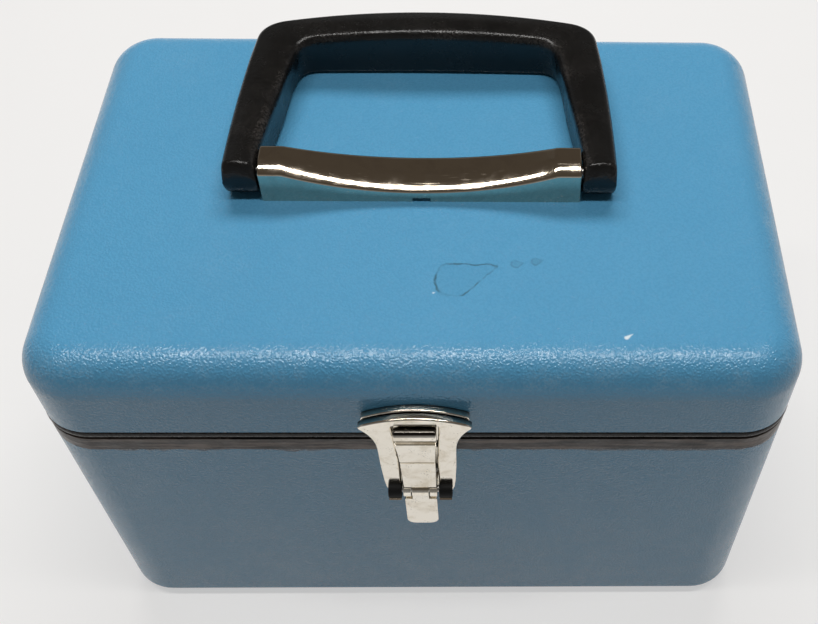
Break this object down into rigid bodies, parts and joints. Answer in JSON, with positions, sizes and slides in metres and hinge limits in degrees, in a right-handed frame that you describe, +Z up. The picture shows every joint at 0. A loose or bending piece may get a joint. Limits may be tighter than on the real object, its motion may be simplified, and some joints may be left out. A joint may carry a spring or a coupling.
{
  "type": "lunch box",
  "caption": "Hard plastic lunch box with a rounded hinged lid, dark rims at the seam, a folding carrying handle on a plated saddle and a press latch on the front.",
  "frame": {"origin": "on the surface that the feet stand on, below the middle of the box", "axes": "+X along the box's width to the viewer's right, +Y to the rear hinges, +Z up"},
  "size_m": [0.22, 0.1619, 0.1579],
  "materials": {
    "shell_blue": "pebble grain, half gloss",
    "rim_base": "worn",
    "rim_lid": "half gloss",
    "foot": "dull",
    "nickel": "bright nickel plate, a little tarnished",
    "chrome": "mirror",
    "bush_black": "half gloss",
    "steel": "zinc plated",
    "grip_black": "fine grain, worn edges"
  },
  "bodies": {
    "base": {"base_shell": "shell_blue", "base_rim": "rim_base", "feet": "foot", "latch_shield": "nickel", "latch_bushes": "bush_black", "latch_pin": "steel", "latch_rivets": "steel", "hinge_leaf_base_left": "steel", "hinge_leaf_base_right": "steel", "hinge_pin_left": "steel", "hinge_pin_right": "steel", "hinge_rivets_base": "steel"},
    "lid": {"lid_shell": "shell_blue", "lid_rim": "rim_lid", "latch_keeper": "nickel", "keeper_rivets": "steel", "hinge_leaf_lid_left": "steel", "hinge_leaf_lid_right": "steel", "hinge_rivets_lid": "steel", "handle_saddle": "chrome", "handle_bracket": "steel", "handle_stubs": "steel", "handle_screws": "steel", "handle_nuts": "steel", "handle_plate": "steel"},
    "handle": {"handle_grip": "grip_black"},
    "latch": {"latch_claw": "nickel", "latch_tab": "nickel", "latch_spring": "steel"}
  },
  "joints": [
    {"name": "lid_hinge", "type": "hinge", "parent": "base", "child": "lid", "pos_m": [0, 0.0774, 0.1096], "axis": [-1, 0, 0], "range_deg": [0, 100]},
    {"name": "handle_swing", "type": "hinge", "parent": "lid", "child": "handle", "pos_m": [0, -0.0046, 0.1487], "axis": [1, 0, 0], "range_deg": [0, 165]},
    {"name": "latch_press", "type": "hinge", "parent": "base", "child": "latch", "pos_m": [0, -0.0791, 0.089], "axis": [1, 0, 0], "range_deg": [0, 12], "stiffness_Nm_per_rad": 0.05, "deforming": ["latch_spring"]}
  ]
}
